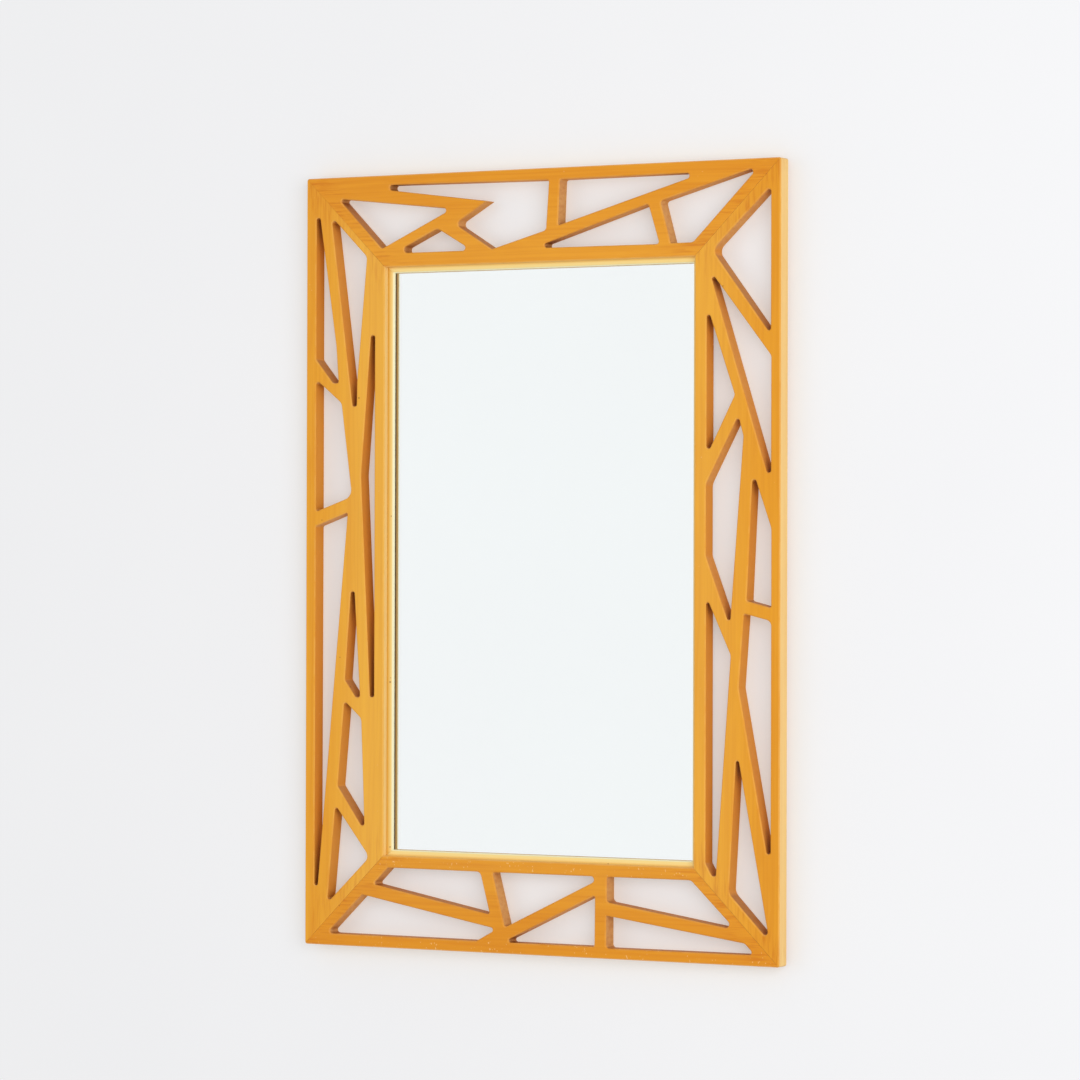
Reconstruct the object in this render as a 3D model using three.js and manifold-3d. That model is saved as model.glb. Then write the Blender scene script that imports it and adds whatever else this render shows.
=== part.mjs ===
// A wall mirror in a flat frame of four pierced pine boards, mitred at the corners.
// Millimetres, +Z up. The mirror faces -Y. The origin is the centre of the backing board's
// rear face, which is the side that goes to the wall.

import * as THREE from 'three';
import { mergeVertices } from 'three/addons/utils/BufferGeometryUtils.js';
import Module from 'manifold-3d';

const wasm = await Module();
wasm.setup();

// ---------------------------------------------------------------- driving dimensions

const FRAME_WIDTH = 550;
const FRAME_HEIGHT = 800;
const BOARD_WIDTH = 95; // planed pine board
const BOARD_THICKNESS = 18;
const ARRIS = 1.2; // width of the eased edges
const OUTLINE_ON_ARRIS = 0.5; // the openings' outlines run this far up the eased edge
const FRAME_CORNER_RADIUS = 2.5;
const CORNER_STEPS = 3; // a rounded corner is drawn with twice as many facets

const FIT = 0.2; // gap between pieces that are seated on each other

const LIP_DEPTH = 7; // wood left in front of the rabbet
const RABBET_WIDTH = 4.5;

const SLIP_SHOWING = 6; // width of the slip in front of the glass
const SLIP_THICKNESS = 5.2;
const SLIP_CROWN_WIDTH = 5; // the slip's face falls away towards the glass over this width
const SLIP_CROWN_HEIGHT = 4;

const GLASS_THICKNESS = 5;
const GLASS_ARRIS = 0.6;

const BACKING_THICKNESS = 3.2;
const BACKING_OVERLAP = 5.5; // how far the backing board laps onto the boards
const PIN_RADIUS = 0.7;
const PIN_LENGTH = 14;
const PIN_HEAD_RADIUS = 1.3;
const PIN_HEAD_HEIGHT = 0.5;
const PIN_FROM_RABBET = 2.8;
const RAIL_PIN_PLACES = [-130, 0, 130];
const STILE_PIN_PLACES = [-255, -85, 85, 255];

const SPLINE_THICKNESS = 3;
const SPLINE_WIDTH = 10;
const SPLINE_LENGTH = 84;
const SPLINE_FROM_SIGHT = 48; // from the sight corner to the spline's middle, along X and Z

const HANGER_X = 196.5;
const HANGER_BAR_Z = 297; // height of the rings' straight bars
const HANGER_HOUSING = 0.6; // the straps are let into the stiles this deep
const RING_WIRE_RADIUS = 0.8;
const RING_HALF_WIDTH = 5.2; // to the middle of the wire
const RING_STRAIGHT_SIDE = 5.2;
const RING_CORNER_RADIUS = 1.2;
const EYE_CLEARANCE = 0.3;
const STRAP_SHEET = 0.6;
const STRAP_WIDTH = 7.2;
const STRAP_END_RADIUS = 3.5;
const CURL_GAP_ANGLE = Math.PI / 3; // the strap's curl stops this far short of a full turn
const SCREW_BELOW_BAR = 5.9;
const SCREW_RADIUS = 1.45;
const SCREW_HEAD_RADIUS = 2.7;
const SCREW_HEAD_HEIGHT = 1.6;
const SCREW_LENGTH = 13;

// Worked out from the dimensions above. Y grows from the mirror's face towards the wall.
const OUTER_X = FRAME_WIDTH / 2;
const OUTER_Z = FRAME_HEIGHT / 2;
const SIGHT_X = OUTER_X - BOARD_WIDTH;
const SIGHT_Z = OUTER_Z - BOARD_WIDTH;
const BOARD_BACK_Y = -(BACKING_THICKNESS + FIT);
const BOARD_FRONT_Y = BOARD_BACK_Y - BOARD_THICKNESS;
const LIP_BACK_Y = BOARD_FRONT_Y + LIP_DEPTH;
const SLIP_BACK_Y = LIP_BACK_Y + FIT + SLIP_THICKNESS;
const GLASS_BACK_Y = SLIP_BACK_Y + FIT + GLASS_THICKNESS;
const EYE_BORE_RADIUS = RING_WIRE_RADIUS + EYE_CLEARANCE;
const EYE_OUTER_RADIUS = EYE_BORE_RADIUS + STRAP_SHEET;
const STRAP_FRONT_Y = BOARD_BACK_Y - HANGER_HOUSING + FIT;
const STRAP_BACK_Y = STRAP_FRONT_Y + STRAP_SHEET;
const RING_BAR_Y = STRAP_FRONT_Y + EYE_OUTER_RADIUS;
const SCREW_Z = HANGER_BAR_Z - SCREW_BELOW_BAR;
const STRAP_BOTTOM_Z = SCREW_Z - STRAP_WIDTH / 2 - 0.3;

// ---------------------------------------------------------------- the fretwork
// Each opening is a list of corners [x, z, radius] round its outline on the face of the board,
// measured from the centre of the frame.

const TOP_RAIL_OPENINGS = [
  [[-238, 378.5, 2.7], [-98, 363, 3.3], [-184, 323.5, 4]],
  [[-175, 390.5, 3.4], [14, 388.5, 3], [10.5, 336.5, 5], [-53, 319, 3], [-98, 347, 5],
    [-59.5, 369, 0], [-175, 384, 3.4]],
  [[-172, 318.5, 4], [-117.5, 343.5, 8], [-74.5, 318.5, 3.5]],
  [[25.5, 388.5, 3], [194.5, 389, 3.3], [23.5, 340.5, 2]],
  [[-9, 318.5, 3], [127.5, 360, 3.5], [140.5, 318, 3]],
  [[140, 362, 4], [253, 393.5, 3.5], [177.5, 318.5, 7], [152, 318.5, 2]],
];

const BOTTOM_RAIL_OPENINGS = [
  [[-175, -316.5, 3], [-64.5, -317, 6], [-52.5, -361.5, 2.5], [-193.5, -335, 2.5]],
  [[-206, -345.5, 3], [-43.5, -375, 3], [-69, -389, 6], [-250, -388.5, 3.5]],
  [[-51, -317, 2.5], [81, -317, 4], [-36, -374, 3]],
  [[-40.5, -389, 2.7], [69, -336, 2], [68.5, -389, 2.5]],
  [[81.5, -317, 2.5], [177, -317, 8], [228, -365.5, 4], [81.5, -343.5, 5]],
  [[81, -356, 1.5], [237, -377.5, 8], [249, -389.5, 3], [81, -390, 4]],
];

const LEFT_STILE_OPENINGS = [
  [[-264, 359, 2.8], [-258.5, 359, 2.8], [-238.5, 225, 60], [-235.5, 185, 2.6], [-243, 185, 6],
    [-264, 210.5, 4]],
  [[-246, 361, 3.2], [-201.5, 316.5, 8], [-213, 187, 40], [-213.5, 160.5, 2.8],
    [-219.5, 160.5, 2.8]],
  [[-197.5, 235, 2.9], [-191.5, 235, 2.9], [-191.5, -141.5, 2.8], [-197.5, -141.5, 2.8],
    [-209, 89, 40]],
  [[-264, 191, 3.2], [-232, 165, 9], [-219, 67, 11], [-264, 51, 2.8]],
  [[-264, 37, 3], [-224, 51.5, 2], [-259.5, -339, 2.5], [-264.5, -339, 2.5]],
  [[-221, -31, 2.7], [-215.5, -31, 2.7], [-208.5, -142, 3], [-214.5, -142, 4],
    [-228, -123.5, 5]],
  [[-228.5, -144, 2.8], [-207, -163, 9], [-202.5, -282, 3], [-236.5, -234, 5]],
  [[-239, -252.5, 2.6], [-196.5, -307, 8], [-249, -358, 3]],
];

const RIGHT_STILE_OPENINGS = [
  [[264.5, 373.5, 3], [264.5, 223.5, 2.7], [198.5, 310.5, 9]],
  [[194, 294.5, 2.6], [265, 204.5, 8], [265, 71.5, 3]],
  [[192.5, 260, 2.7], [225, 166, 6], [192.5, 103, 3]],
  [[228.5, 147, 2.6], [234.5, 125, 8], [220.5, -58, 2.6], [216.5, -58, 2.6], [192, 6, 12],
    [192, 78, 14]],
  [[244, 94, 2.9], [265.5, 33.5, 20], [265.5, -46, 2], [237.5, -39, 3]],
  [[234.5, -50.5, 2.5], [265.5, -58, 7], [265.5, -316, 2.8], [229, -125, 15]],
  [[192.5, -31.5, 2.4], [221, -92.5, 10], [205, -313.5, 2.5], [200, -313, 4],
    [192.5, -300, 5]],
  [[227, -180.5, 2.3], [264.5, -376, 3.3], [218.5, -329, 12]],
];

// ---------------------------------------------------------------- materials

const pine = new THREE.MeshStandardMaterial({ color: 0xe39a35, roughness: 0.35, metalness: 0 });
const beech = new THREE.MeshStandardMaterial({ color: 0xd9b48a, roughness: 0.7, metalness: 0 });
const gilt = new THREE.MeshStandardMaterial({ color: 0xe6c878, roughness: 0.35, metalness: 0.4 });
const silvered = new THREE.MeshStandardMaterial({ color: 0xf0f3f4, roughness: 0.02, metalness: 1 });
const hardboard = new THREE.MeshStandardMaterial({ color: 0x8a6440, roughness: 0.85, metalness: 0 });
const steel = new THREE.MeshStandardMaterial({ color: 0xb9bcbe, roughness: 0.4, metalness: 1 });

const mirror = new THREE.Group();

function addPiece(name, geometry, material) {
  const piece = new THREE.Mesh(geometry, material);
  piece.name = name;
  mirror.add(piece);
  return piece;
}

// ---------------------------------------------------------------- shapes and solids

// Draws a closed outline through corners [x, z, radius], each rounded by an arc. An arc that
// would take more than half of an edge is made smaller, so short edges become round ends.
function roundedOutline(corners, path) {
  corners.forEach(([x, z, radius], i) => {
    const [beforeX, beforeZ] = corners[(i + corners.length - 1) % corners.length];
    const [afterX, afterZ] = corners[(i + 1) % corners.length];
    const toBefore = new THREE.Vector2(beforeX - x, beforeZ - z);
    const toAfter = new THREE.Vector2(afterX - x, afterZ - z);
    const shorterEdge = Math.min(toBefore.length(), toAfter.length());
    toBefore.normalize();
    toAfter.normalize();
    const halfAngle = Math.acos(toBefore.dot(toAfter)) / 2;
    const tangent = Math.min(radius / Math.tan(halfAngle), 0.49 * shorterEdge);
    if (tangent === 0) {
      path.lineTo(x, z);
      return;
    }
    const corner = new THREE.Vector2(x, z);
    const bisector = toBefore.clone().add(toAfter).normalize();
    const centre = corner.clone().addScaledVector(bisector, tangent / Math.cos(halfAngle));
    const start = corner.clone().addScaledVector(toBefore, tangent).sub(centre);
    const end = corner.clone().addScaledVector(toAfter, tangent).sub(centre);
    const clockwise = toBefore.cross(toAfter) > 0;
    path.absarc(centre.x, centre.y, start.length(), start.angle(), end.angle(), clockwise);
  });
  path.closePath();
  return path;
}

function rectangle(lowX, lowZ, highX, highZ) {
  return new THREE.Shape([
    new THREE.Vector2(lowX, lowZ),
    new THREE.Vector2(highX, lowZ),
    new THREE.Vector2(highX, highZ),
    new THREE.Vector2(lowX, highZ),
  ]);
}

// Extrudes a shape drawn in X and Z, from frontY to backY, with edges eased by arris.
function slab(shape, frontY, backY, arris = 0, arrisOffset = 0) {
  const geometry = new THREE.ExtrudeGeometry(shape, {
    depth: backY - frontY - 2 * arris,
    bevelEnabled: arris > 0,
    bevelThickness: arris,
    bevelSize: arris,
    bevelOffset: arrisOffset - arris,
    bevelSegments: 1,
    curveSegments: CORNER_STEPS,
  });
  geometry.rotateX(Math.PI / 2);
  geometry.translate(0, backY - arris, 0);
  return geometry;
}

function box(lowX, lowY, lowZ, highX, highY, highZ) {
  const geometry = new THREE.BoxGeometry(highX - lowX, highY - lowY, highZ - lowZ);
  return geometry.translate((lowX + highX) / 2, (lowY + highY) / 2, (lowZ + highZ) / 2);
}

// A round bar along Y.
function bar(radius, x, z, lowY, highY, sides = 8) {
  const geometry = new THREE.CylinderGeometry(radius, radius, highY - lowY, sides);
  return geometry.translate(x, (lowY + highY) / 2, z);
}

function toSolid(geometry) {
  const bare = geometry.clone();
  bare.deleteAttribute('normal');
  bare.deleteAttribute('uv');
  const merged = mergeVertices(bare, 1e-4);
  return new wasm.Manifold(new wasm.Mesh({
    numProp: 3,
    vertProperties: new Float32Array(merged.attributes.position.array),
    triVerts: new Uint32Array(merged.index.array),
  }));
}

function toGeometry(solid) {
  const mesh = solid.getMesh();
  const geometry = new THREE.BufferGeometry();
  geometry.setAttribute('position', new THREE.BufferAttribute(mesh.vertProperties, 3));
  geometry.setIndex(new THREE.BufferAttribute(mesh.triVerts, 1));
  geometry.computeVertexNormals();
  return geometry;
}

function cut(geometry, cutters) {
  const solid = cutters.reduce((left, cutter) => left.subtract(toSolid(cutter)), toSolid(geometry));
  return toGeometry(solid);
}

// ---------------------------------------------------------------- the four boards

const CORNERS = [
  { name: 'top_left', sideX: -1, sideZ: 1 },
  { name: 'top_right', sideX: 1, sideZ: 1 },
  { name: 'bottom_left', sideX: -1, sideZ: -1 },
  { name: 'bottom_right', sideX: 1, sideZ: -1 },
];

const PAST = 12; // how far a cutter runs past the wood that it cuts
const MITRE_SHIFT = (FIT / 2) * Math.SQRT2;

// The frame's outline and sight opening, with the openings of one board in it.
function frameBlank(openings) {
  const drawnX = OUTER_X - OUTLINE_ON_ARRIS;
  const drawnZ = OUTER_Z - OUTLINE_ON_ARRIS;
  const radius = FRAME_CORNER_RADIUS - OUTLINE_ON_ARRIS;
  const shape = roundedOutline([
    [-drawnX, -drawnZ, radius],
    [drawnX, -drawnZ, radius],
    [drawnX, drawnZ, radius],
    [-drawnX, drawnZ, radius],
  ], new THREE.Shape());
  const sightX = SIGHT_X + OUTLINE_ON_ARRIS;
  const sightZ = SIGHT_Z + OUTLINE_ON_ARRIS;
  shape.holes.push(rectangle(-sightX, -sightZ, sightX, sightZ));
  openings.forEach((corners) => shape.holes.push(roundedOutline(corners, new THREE.Path())));
  return slab(shape, BOARD_FRONT_Y, BOARD_BACK_Y, ARRIS, OUTLINE_ON_ARRIS);
}

// What lies between two mitres, on the side of the frame that a board takes.
function betweenMitres(side, isRail) {
  const across = isRail ? [SIGHT_X, OUTER_X] : [SIGHT_Z, OUTER_Z];
  const out = isRail ? [SIGHT_Z, OUTER_Z] : [SIGHT_X, OUTER_X];
  const innerHalf = across[0] - PAST - MITRE_SHIFT;
  const outerHalf = across[1] + PAST - MITRE_SHIFT;
  const inner = side * (out[0] - PAST);
  const outer = side * (out[1] + PAST);
  const corners = [[-innerHalf, inner], [innerHalf, inner], [outerHalf, outer], [-outerHalf, outer]];
  const shape = new THREE.Shape(corners.map(
    ([along, away]) => (isRail ? new THREE.Vector2(along, away) : new THREE.Vector2(away, along)),
  ));
  return slab(shape, BOARD_FRONT_Y - PAST, BOARD_BACK_Y + PAST);
}

// A flat bar lying in a corner's mitre, half of it in the rail and half in the stile.
function mitreSpline({ sideX, sideZ }, clearance) {
  const geometry = new THREE.BoxGeometry(
    SPLINE_LENGTH + 2 * clearance,
    SPLINE_THICKNESS + 2 * clearance,
    SPLINE_WIDTH + 2 * clearance,
  );
  geometry.rotateY(-sideX * sideZ * (Math.PI / 4));
  return geometry.translate(
    sideX * (SIGHT_X + SPLINE_FROM_SIGHT),
    BOARD_FRONT_Y + BOARD_THICKNESS / 2,
    sideZ * (SIGHT_Z + SPLINE_FROM_SIGHT),
  );
}

const railPins = RAIL_PIN_PLACES.map((x) => [x, SIGHT_Z + RABBET_WIDTH + PIN_FROM_RABBET]);
const stilePins = STILE_PIN_PLACES.map((z) => [SIGHT_X + RABBET_WIDTH + PIN_FROM_RABBET, z]);

function pinHole(x, z) {
  return bar(PIN_RADIUS + FIT, x, z, -(PIN_LENGTH + FIT), PAST);
}

function screwHole(x) {
  return bar(SCREW_RADIUS + FIT, x, SCREW_Z, STRAP_BACK_Y - SCREW_LENGTH - FIT, PAST, 12);
}

// A board: the pierced blank cut off at its mitres, then the rabbet, the grooves for the
// splines and the holes and housings that are made at the bench.
function board(openings, mitred, cutters) {
  const ends = toSolid(frameBlank(openings)).intersect(toSolid(mitred));
  return toGeometry(cutters.reduce((left, cutter) => left.subtract(toSolid(cutter)), ends));
}

function rabbet() {
  const wallX = SIGHT_X + RABBET_WIDTH;
  const wallZ = SIGHT_Z + RABBET_WIDTH;
  return box(-wallX, LIP_BACK_Y, -wallZ, wallX, PAST, wallZ);
}

function rail(sideZ, openings) {
  return board(openings, betweenMitres(sideZ, true), [
    rabbet(),
    ...CORNERS.filter((corner) => corner.sideZ === sideZ).map((corner) => mitreSpline(corner, FIT)),
    ...railPins.map(([x, z]) => pinHole(x, sideZ * z)),
  ]);
}

function stile(sideX, openings) {
  const hangerX = sideX * HANGER_X;
  const housingHalf = STRAP_WIDTH / 2 + FIT;
  const hangerHousing = box(
    hangerX - housingHalf,
    BOARD_BACK_Y - HANGER_HOUSING,
    STRAP_BOTTOM_Z - FIT,
    hangerX + housingHalf,
    PAST,
    HANGER_BAR_Z + EYE_OUTER_RADIUS + FIT,
  );
  return board(openings, betweenMitres(sideX, false), [
    rabbet(),
    ...CORNERS.filter((corner) => corner.sideX === sideX).map((corner) => mitreSpline(corner, FIT)),
    ...stilePins.map(([x, z]) => pinHole(sideX * x, z)),
    screwHole(hangerX),
    hangerHousing,
  ]);
}

addPiece('top_rail', rail(1, TOP_RAIL_OPENINGS), pine);
addPiece('bottom_rail', rail(-1, BOTTOM_RAIL_OPENINGS), pine);
addPiece('left_stile', stile(-1, LEFT_STILE_OPENINGS), pine);
addPiece('right_stile', stile(1, RIGHT_STILE_OPENINGS), pine);

CORNERS.forEach((corner) => {
  addPiece(`mitre_spline_${corner.name}`, mitreSpline(corner, 0), beech);
});

// ---------------------------------------------------------------- slip, glass and backing

// The slip's section lies in X and Y, seen along its length. It is drawn from its nose, where
// it meets the glass, to the wall of the rabbet, and its ends are then pushed out to mitres.
function slip(sightHalf, sightLength) {
  const nose = sightHalf - SLIP_SHOWING;
  const heel = sightHalf + RABBET_WIDTH - FIT;
  const front = LIP_BACK_Y + FIT;
  const section = new THREE.Shape();
  section.moveTo(heel, front);
  section.lineTo(heel, SLIP_BACK_Y);
  section.lineTo(nose, SLIP_BACK_Y);
  section.absellipse(
    nose + SLIP_CROWN_WIDTH,
    front + SLIP_CROWN_HEIGHT,
    SLIP_CROWN_WIDTH,
    SLIP_CROWN_HEIGHT,
    Math.PI,
    1.5 * Math.PI,
    false,
  );
  section.closePath();
  const geometry = new THREE.ExtrudeGeometry(section, {
    depth: 2, steps: 1, bevelEnabled: false, curveSegments: CORNER_STEPS,
  });
  geometry.translate(0, 0, -1);
  const position = geometry.attributes.position;
  for (let i = 0; i < position.count; i += 1) {
    const fromSight = position.getX(i) - sightHalf;
    const end = sightLength + fromSight - MITRE_SHIFT;
    position.setZ(i, Math.sign(position.getZ(i)) * end);
  }
  return geometry;
}

addPiece('slip_top', slip(SIGHT_Z, SIGHT_X).rotateY(-Math.PI / 2), gilt);
addPiece('slip_bottom', slip(SIGHT_Z, SIGHT_X).rotateY(Math.PI / 2), gilt);
addPiece('slip_left', slip(SIGHT_X, SIGHT_Z).rotateY(Math.PI), gilt);
addPiece('slip_right', slip(SIGHT_X, SIGHT_Z), gilt);

const glassX = SIGHT_X + RABBET_WIDTH - FIT;
const glassZ = SIGHT_Z + RABBET_WIDTH - FIT;
const glassOutline = rectangle(-glassX, -glassZ, glassX, glassZ);
const glass = slab(glassOutline, SLIP_BACK_Y + FIT, GLASS_BACK_Y, GLASS_ARRIS);
addPiece('mirror_glass', glass, silvered);

const backingX = SIGHT_X + RABBET_WIDTH + BACKING_OVERLAP;
const backingZ = SIGHT_Z + RABBET_WIDTH + BACKING_OVERLAP;
const pins = [
  ...railPins.map(([x, z]) => [x, z]),
  ...stilePins.map(([x, z]) => [x, z]).reverse(),
  ...railPins.map(([x, z]) => [-x, -z]),
  ...stilePins.map(([x, z]) => [-x, z]),
];
const backingSheet = slab(rectangle(-backingX, -backingZ, backingX, backingZ), -BACKING_THICKNESS, 0);
addPiece('backing_board', cut(backingSheet, pins.flatMap(([x, z]) => [
  pinHole(x, z),
  bar(PIN_HEAD_RADIUS + FIT, x, z, -(PIN_HEAD_HEIGHT + FIT), PAST, 12),
])), hardboard);

// A turned piece whose outline is a list of [radius, height] points from its tip to its head.
// It is laid down so that its head faces the wall, with height zero at headY.
function turned(outline, x, headY, z, sides) {
  const points = outline.map(([radius, height]) => new THREE.Vector2(radius, height));
  return new THREE.LatheGeometry(points, sides).translate(x, headY, z);
}

pins.forEach(([x, z], i) => {
  const number = String(i + 1).padStart(2, '0');
  addPiece(`backing_pin_${number}`, turned([
    [0, -PIN_LENGTH],
    [PIN_RADIUS, 2 * PIN_RADIUS - PIN_LENGTH],
    [PIN_RADIUS, -PIN_HEAD_HEIGHT],
    [PIN_HEAD_RADIUS, -PIN_HEAD_HEIGHT],
    [PIN_HEAD_RADIUS, 0],
    [0, 0],
  ], x, 0, z, 12), steel);
});

// ---------------------------------------------------------------- hangers

// The strap's section lies in Y and Z: a flat tail with its upper end curled round the bar.
function hangerStrap(x) {
  const section = new THREE.Shape();
  const curlEnd = Math.PI + CURL_GAP_ANGLE;
  section.moveTo(STRAP_BACK_Y, HANGER_BAR_Z);
  section.lineTo(STRAP_BACK_Y, STRAP_BOTTOM_Z);
  section.lineTo(STRAP_FRONT_Y, STRAP_BOTTOM_Z);
  section.lineTo(STRAP_FRONT_Y, HANGER_BAR_Z);
  section.absarc(RING_BAR_Y, HANGER_BAR_Z, EYE_OUTER_RADIUS, Math.PI, curlEnd, true);
  section.absarc(RING_BAR_Y, HANGER_BAR_Z, EYE_BORE_RADIUS, curlEnd, Math.PI, false);
  const curled = new THREE.ExtrudeGeometry(section, {
    depth: STRAP_WIDTH, bevelEnabled: false, curveSegments: 10,
  });
  // Turns the drawing's axes (Y, Z, along the strap's width) to Y, Z and X.
  curled.applyMatrix4(new THREE.Matrix4().makeBasis(
    new THREE.Vector3(0, 1, 0),
    new THREE.Vector3(0, 0, 1),
    new THREE.Vector3(1, 0, 0),
  ));
  curled.translate(x - STRAP_WIDTH / 2, 0, 0);

  const left = x - STRAP_WIDTH / 2;
  const right = x + STRAP_WIDTH / 2;
  const top = HANGER_BAR_Z + EYE_OUTER_RADIUS + FIT;
  const outline = roundedOutline([
    [left, STRAP_BOTTOM_Z, STRAP_END_RADIUS],
    [right, STRAP_BOTTOM_Z, STRAP_END_RADIUS],
    [right, top, 0],
    [left, top, 0],
  ], new THREE.Shape());
  const blank = toSolid(slab(outline, STRAP_FRONT_Y - PAST, PAST));
  return toGeometry(toSolid(curled).intersect(blank).subtract(toSolid(screwHole(x))));
}

// A D-ring of round wire lying flat behind the strap, with its straight bar in the eye.
function hangerRing(x) {
  const bottom = HANGER_BAR_Z - RING_STRAIGHT_SIDE - RING_HALF_WIDTH;
  const left = x - RING_HALF_WIDTH;
  const right = x + RING_HALF_WIDTH;
  const path = roundedOutline([
    [left, HANGER_BAR_Z, RING_CORNER_RADIUS],
    [left, bottom, 0.99 * RING_HALF_WIDTH],
    [right, bottom, 0.99 * RING_HALF_WIDTH],
    [right, HANGER_BAR_Z, RING_CORNER_RADIUS],
  ], new THREE.Path()).getPoints(4).filter((point, i, all) => (
    point.distanceTo(all[(i + 1) % all.length]) > 0.01
  ));
  const sides = 10;
  const vertices = [];
  const triangles = [];
  path.forEach((point, i) => {
    const before = path[(i + path.length - 1) % path.length];
    const after = path[(i + 1) % path.length];
    const arriving = point.clone().sub(before).normalize();
    const leaving = after.clone().sub(point).normalize();
    const along = arriving.clone().add(leaving).normalize();
    const across = new THREE.Vector2(along.y, -along.x);
    const stretch = 1 / along.dot(leaving);
    for (let side = 0; side < sides; side += 1) {
      const angle = (2 * Math.PI * side) / sides;
      const out = RING_WIRE_RADIUS * Math.cos(angle) * stretch;
      vertices.push(
        point.x + across.x * out,
        RING_BAR_Y + RING_WIRE_RADIUS * Math.sin(angle),
        point.y + across.y * out,
      );
      const next = (side + 1) % sides;
      const here = i * sides;
      const there = ((i + 1) % path.length) * sides;
      triangles.push(here + side, there + next, there + side);
      triangles.push(here + side, here + next, there + next);
    }
  });
  const geometry = new THREE.BufferGeometry();
  geometry.setAttribute('position', new THREE.Float32BufferAttribute(vertices, 3));
  geometry.setIndex(triangles);
  geometry.computeVertexNormals();
  return geometry;
}

function hangerScrew(x) {
  return turned([
    [0, -SCREW_LENGTH],
    [SCREW_RADIUS, 2 * SCREW_RADIUS - SCREW_LENGTH],
    [SCREW_RADIUS, FIT],
    [SCREW_HEAD_RADIUS, FIT],
    [SCREW_HEAD_RADIUS, FIT + 0.5 * SCREW_HEAD_HEIGHT],
    [0.7 * SCREW_HEAD_RADIUS, FIT + 0.9 * SCREW_HEAD_HEIGHT],
    [0, FIT + SCREW_HEAD_HEIGHT],
  ], x, STRAP_BACK_Y, SCREW_Z, 16);
}

[['left', -HANGER_X], ['right', HANGER_X]].forEach(([side, x]) => {
  addPiece(`hanger_strap_${side}`, hangerStrap(x), steel);
  addPiece(`hanger_ring_${side}`, hangerRing(x), steel);
  addPiece(`hanger_screw_${side}`, hangerScrew(x), steel);
});

export default mirror;
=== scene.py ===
"""Looks for a wall mirror in a flat, mitred pine frame pierced by a fretwork of slanted bars.

Metres, in the model's own frame: +X right, +Z up, the glass faces -Y and the wall is at Y = 0.
"""

import math

import bmesh
import bpy
from mathutils import Matrix, Vector


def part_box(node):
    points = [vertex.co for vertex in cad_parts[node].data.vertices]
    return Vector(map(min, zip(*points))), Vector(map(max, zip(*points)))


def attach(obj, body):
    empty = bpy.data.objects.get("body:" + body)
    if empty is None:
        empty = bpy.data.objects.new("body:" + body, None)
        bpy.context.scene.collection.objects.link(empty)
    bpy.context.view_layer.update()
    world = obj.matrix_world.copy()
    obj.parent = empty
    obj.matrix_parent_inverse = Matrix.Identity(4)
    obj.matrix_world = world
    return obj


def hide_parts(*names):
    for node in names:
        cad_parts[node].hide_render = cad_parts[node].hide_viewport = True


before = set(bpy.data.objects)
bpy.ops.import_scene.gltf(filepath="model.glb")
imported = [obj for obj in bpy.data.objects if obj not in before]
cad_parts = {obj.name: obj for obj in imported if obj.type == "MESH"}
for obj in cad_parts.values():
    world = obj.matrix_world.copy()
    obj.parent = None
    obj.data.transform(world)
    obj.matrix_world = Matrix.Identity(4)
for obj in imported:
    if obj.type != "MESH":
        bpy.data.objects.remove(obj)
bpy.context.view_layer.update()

MM = 0.001

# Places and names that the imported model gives.
ROOT = "mirror"
SLIPS = ("slip_top", "slip_bottom", "slip_left", "slip_right")
SPLINES = tuple(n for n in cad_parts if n.startswith("mitre_spline_"))
PINS = tuple(sorted(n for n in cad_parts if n.startswith("backing_pin_")))
SIDES = ("left", "right")
MITRE_OFFSET = 125 * MM  # half the height less half the width: |z| - |x| on every mitre line
BOARD_LOW, BOARD_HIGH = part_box("left_stile")
BOARD_HIGH_X = -BOARD_LOW.x
SIGHT_X = -BOARD_HIGH.x
BOARD_WIDTH = BOARD_HIGH_X - SIGHT_X
SIGHT_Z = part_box("top_rail")[0].z

# Finishes, as 0 to 255 screen colours.
LIT_SIDE = (243, 205, 133)  # the frame's outer sides, paler with painted light and a painted sheen
LIT_LIP = (252, 214, 136)  # the edge round the glass, paler with painted light and a painted highlight
PLAIN_BACK = (206, 156, 92)  # the boards' backs, with a thinner finish
PLAIN_BACK_GRAIN = (172, 112, 52)
SAWN_WALL = (223, 152, 58)  # the walls of the openings, along the grain
SAWN_END = (224, 174, 108)  # the same, across the grain
END_PORES = (198, 130, 70)
SAWN_PAINTED_SHADE = (140, 72, 22)  # painted shade that both darken towards, near the wall of the room
SAWN_UPWARD_SHADE = (136, 80, 50)  # painted shade on the walls that face upwards
NARROW_PAINTED_SHADE = (112, 38, 10)  # painted shade in the narrow ends of the openings
INNER_PINE = (242, 194, 92)  # the faces fade towards this near the glass
OUTER_PINE = (214, 128, 12)  # and deepen towards this at the outer edges
# Wear and a painted highlight along the arrises.
WORN_LIT_ARRIS = (250, 202, 116)
PALE_CHIP = (248, 204, 134)
PINE_SPECK = (120, 56, 18)
GILT = (250, 222, 146)
GILT_CLOUD = (246, 212, 132)
GILT_PAINTED_SHADE = (226, 166, 54)  # painted shade on the slip where it meets the boards
GILT_NOSE_HIGHLIGHT = (255, 248, 206)  # painted highlight on the slip's edge on the glass
GILT_BACK = (240, 178, 78)
GILT_BACK_SHADE = (96, 58, 18)  # painted shade on the slip's back, away from its nose
GILT_SPECK = (150, 84, 24)
PLY = (222, 190, 142)
PLY_FIBRES = (186, 148, 98)
BOARD_DARK = (88, 54, 31)
BOARD_LIGHT = (176, 128, 84)
ZINC_DARK = (176, 178, 176)
ZINC_LIGHT = (214, 214, 208)
CLEAR_GLASS = (255, 255, 255)
GLASS_HAZE = (253, 254, 254)
SILVER = (245, 250, 250)
SILVER_CLOUD = (245, 247, 248)
WALL_PAINT = (239, 241, 245)
WALL_CLOUD = (235, 237, 242)
WALL_OWN = (252, 249, 245)
ROOM = (253, 253, 253)

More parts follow.
